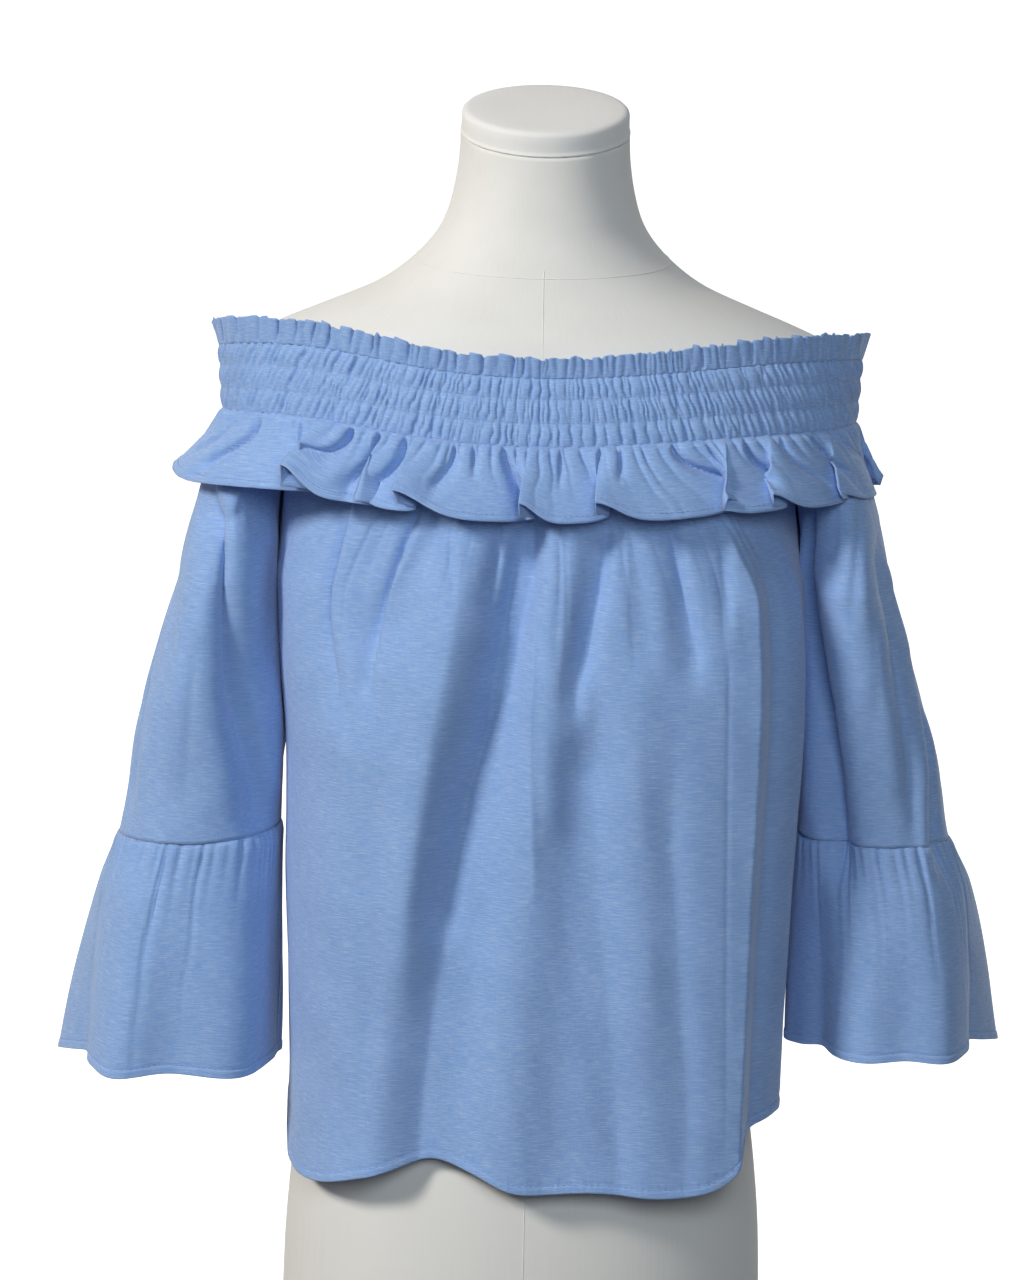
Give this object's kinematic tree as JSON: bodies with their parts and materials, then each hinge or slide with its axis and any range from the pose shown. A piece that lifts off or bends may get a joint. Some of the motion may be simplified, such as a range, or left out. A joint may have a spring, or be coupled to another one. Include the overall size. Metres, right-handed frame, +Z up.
{
  "type": "off-shoulder top on a limbless dress form",
  "caption": "Light-blue off-shoulder top with a shirred neck band, neck flounce and flounced three-quarter sleeves, worn by a plain limbless dress form",
  "frame": {"origin": "Middle of the dress form's flat base, where it stands", "axes": "+Z is up, the front of the top faces -Y, and +X is the wearer's left side"},
  "size_m": [0.5996, 0.2678, 0.7945],
  "materials": {
    "chambray": "light-blue cotton chambray with fine white slubs",
    "form_jersey": "off-white jersey cover, matte",
    "cap_cover": "off-white woven cover, matte"
  },
  "bodies": {
    "root": {"form_torso": "form_jersey", "form_neck_cap": "cap_cover", "neck_band": "chambray", "neck_flounce": "chambray", "front_panel": "chambray", "back_panel": "chambray", "sleeve_right": "chambray", "sleeve_left": "chambray", "sleeve_flounce_right": "chambray", "sleeve_flounce_left": "chambray"}
  },
  "joints": []
}
